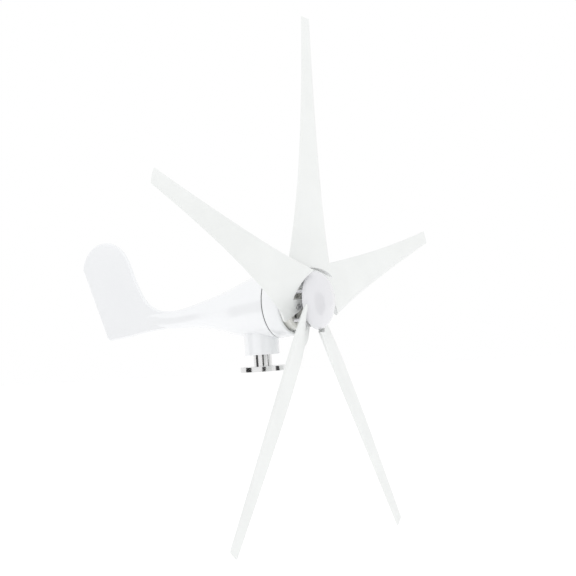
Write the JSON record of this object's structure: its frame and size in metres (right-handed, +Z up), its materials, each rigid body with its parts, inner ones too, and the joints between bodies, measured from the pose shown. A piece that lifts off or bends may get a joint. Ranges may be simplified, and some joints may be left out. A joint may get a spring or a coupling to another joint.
{
  "type": "small wind turbine",
  "caption": "Small upwind horizontal-axis wind turbine: twisted blades on a domed hub, a round generator nacelle with cast tail fin, and a yawing flange foot for a mast.",
  "frame": {"origin": "centre of the mounting flange's underside, on the yaw axis, where the turbine sits on its mast", "axes": "+Z up along the yaw axis, rotor faces -Y into the wind, tail fin towards +Y"},
  "size_m": [1.2438, 0.6821, 1.208],
  "materials": {
    "blade_nylon": "fine moulded satin, faintly green-white",
    "nacelle_paint": "glossy white powder coat over cast aluminium",
    "nose_plastic": "glossy white",
    "hub_paint": "semi-gloss cream white coat over cast aluminium",
    "polished_steel": "polished",
    "bearing_steel": "ground and polished",
    "machined_steel": "turned",
    "spring_steel": "oiled spring steel",
    "fastener_steel": "stainless, satin",
    "insulator": "moulded black phenolic",
    "contact_copper": "turned copper alloy",
    "winding_copper": "enamelled copper wire",
    "seal_rubber": "matte black",
    "lamination_steel": "stacked electrical steel, varnished",
    "cast_aluminium": "as cast and machined",
    "carbon": "pressed carbon",
    "magnet_nickel": "nickel plated"
  },
  "bodies": {
    "mast_mount": {"mounting_flange": "polished_steel", "yaw_shaft": "polished_steel", "yaw_bearing_lower_inner_ring": "bearing_steel", "yaw_bearing_upper_inner_ring": "bearing_steel", "yaw_bearing_spacer": "machined_steel", "yaw_shaft_circlip": "spring_steel", "slip_ring_core": "insulator", "slip_rings": "contact_copper"},
    "nacelle": {"nacelle_shell": "nacelle_paint", "front_cover": "nacelle_paint", "cover_gasket": "seal_rubber", "cover_screws": "fastener_steel", "stator_core": "lamination_steel", "stator_windings": "winding_copper", "bearing_plate": "cast_aluminium", "bearing_plate_screws": "fastener_steel", "front_bearing_outer_ring": "bearing_steel", "front_bearing_balls": "bearing_steel", "rear_bearing_outer_ring": "bearing_steel", "rear_bearing_balls": "bearing_steel", "yaw_bearing_lower_outer_ring": "bearing_steel", "yaw_bearing_lower_balls": "bearing_steel", "yaw_bearing_upper_outer_ring": "bearing_steel", "yaw_bearing_upper_balls": "bearing_steel", "neck_seal": "seal_rubber", "shaft_seal": "seal_rubber", "brush_holder": "insulator", "brush_holder_screws": "fastener_steel", "brushes": "carbon", "brush_springs": "spring_steel"},
    "rotor": {"generator_shaft": "machined_steel", "rotor_core": "machined_steel", "magnets": "magnet_nickel", "front_bearing_inner_ring": "bearing_steel", "rear_bearing_inner_ring": "bearing_steel", "hub_plate": "hub_paint", "hub_key": "machined_steel", "hub_lock_washer": "spring_steel", "hub_nut": "fastener_steel", "blade_1": "blade_nylon", "blade_2": "blade_nylon", "blade_3": "blade_nylon", "blade_4": "blade_nylon", "blade_5": "blade_nylon", "blade_bolts": "fastener_steel", "blade_washers": "fastener_steel", "nose_cone": "nose_plastic", "nose_cone_screws": "fastener_steel"}
  },
  "joints": [
    {"name": "yaw", "type": "hinge", "parent": "mast_mount", "child": "nacelle", "pos_m": [0, 0, 0.06], "axis": [0, 0, 1], "continuous": true},
    {"name": "spin", "type": "hinge", "parent": "nacelle", "child": "rotor", "pos_m": [0, -0.09, 0.153], "axis": [0, 1, 0], "continuous": true}
  ]
}
